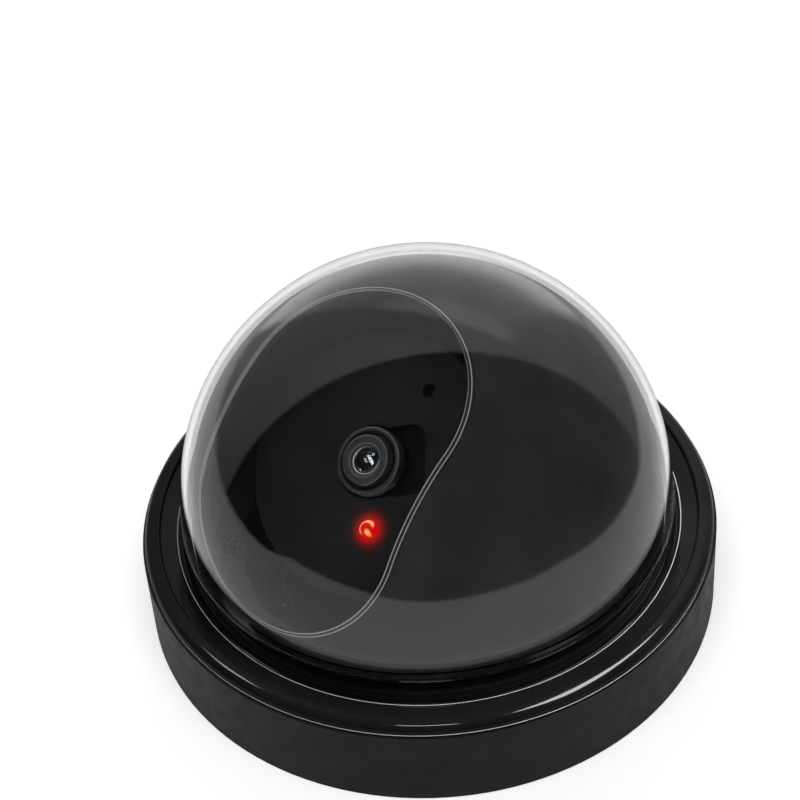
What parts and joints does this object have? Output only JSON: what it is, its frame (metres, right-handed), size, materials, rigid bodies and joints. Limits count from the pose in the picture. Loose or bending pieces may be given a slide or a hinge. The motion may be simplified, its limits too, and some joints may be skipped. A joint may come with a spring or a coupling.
{
  "type": "dome security camera",
  "caption": "Round surface-mount dome camera: black base, clip-on glossy trim ring with clear dome, and a slotted liner over a lens unit that pans, tilts and turns.",
  "frame": {"origin": "centre of the base's flat mounting face", "axes": "+Z out of the mounting surface through the top of the dome, -Y the way the slot and lens face at rest, +X to the right seen from the front"},
  "size_m": [0.115, 0.115, 0.0737],
  "materials": {
    "satin_black_plastic": "fine satin mould texture",
    "gloss_black_plastic": "polished",
    "liner_black_plastic": "semi-gloss",
    "face_black_plastic": "fine matte",
    "matte_black_plastic": "matte",
    "clear_acrylic": "clear polished",
    "black_rubber": "matte",
    "acetal": "low-friction natural",
    "white_nylon": "natural",
    "zinc_steel": "zinc plated",
    "tin_can": "drawn tin",
    "green_board": "solder mask",
    "black_board": "solder mask",
    "chip_black": "moulded epoxy",
    "capacitor_sleeve": "sleeve",
    "terminal_green": "moulded",
    "led_body": "moulded",
    "red_light": "lit red light pipe",
    "sensor_face": "coated silicon",
    "filter_glass": "coated",
    "lens_black": "black anodised",
    "lens_glass": "coated optical glass"
  },
  "bodies": {
    "base": {"mounting_base": "satin_black_plastic", "cable_grommet": "black_rubber", "cover_gasket": "black_rubber", "pan_hub": "acetal", "hub_screws": "zinc_steel", "pan_washer": "white_nylon", "pan_clip": "zinc_steel", "main_board": "green_board", "board_screws": "zinc_steel", "video_chip": "chip_black", "power_chip": "chip_black", "capacitors": "capacitor_sleeve", "inductor": "chip_black", "crystal": "tin_can", "terminal_block": "terminal_green", "terminal_screws": "zinc_steel", "harness_socket": "white_nylon"},
    "cover": {"trim_ring": "gloss_black_plastic", "dome_bubble": "clear_acrylic", "dome_seal": "black_rubber"},
    "pan": {"turntable": "matte_black_plastic", "yoke_left": "matte_black_plastic", "yoke_right": "matte_black_plastic", "yoke_screws": "zinc_steel", "tilt_pins": "zinc_steel", "tilt_washers": "white_nylon", "slotted_liner": "liner_black_plastic", "liner_screws": "zinc_steel"},
    "tilt": {"tilt_cradle": "matte_black_plastic"},
    "unit": {"face_plate": "face_black_plastic", "unit_housing": "matte_black_plastic", "unit_rear_cap": "matte_black_plastic", "turn_retainer": "zinc_steel", "front_board": "black_board", "indicator_led": "led_body", "light_pipe": "red_light", "microphone": "tin_can", "microphone_gasket": "black_rubber", "lens_holder": "matte_black_plastic", "sensor_board": "green_board", "image_sensor": "sensor_face", "sensor_glass": "filter_glass", "signal_chip": "chip_black", "unit_socket": "white_nylon", "holder_screws": "zinc_steel", "face_screws": "zinc_steel"},
    "lens": {"lens_barrel": "lens_black", "lens_retainer": "lens_black", "front_lens": "lens_glass", "rear_lens": "lens_glass", "focus_lock_ring": "lens_black"}
  },
  "joints": [
    {"name": "cover_lift", "type": "slide", "parent": "base", "child": "cover", "axis": [0, 0, 1], "range_m": [0, 0.055]},
    {"name": "pan_turn", "type": "hinge", "parent": "base", "child": "pan", "pos_m": [0, 0, 0.0083], "axis": [0, 0, 1], "range_deg": [-160, 160]},
    {"name": "tilt_swing", "type": "hinge", "parent": "pan", "child": "tilt", "pos_m": [0, 0, 0.0249], "axis": [-1, 0, 0], "range_deg": [-26.6, 38.4]},
    {"name": "unit_rotation", "type": "hinge", "parent": "tilt", "child": "unit", "pos_m": [0, 0, 0.0249], "axis": [0, -0.6211, 0.7837], "range_deg": [-122, 58]},
    {"name": "lens_focus", "type": "hinge", "parent": "unit", "child": "lens", "pos_m": [0, 0, 0.0249], "axis": [0, -0.6211, 0.7837], "range_deg": [-180, 180]}
  ]
}
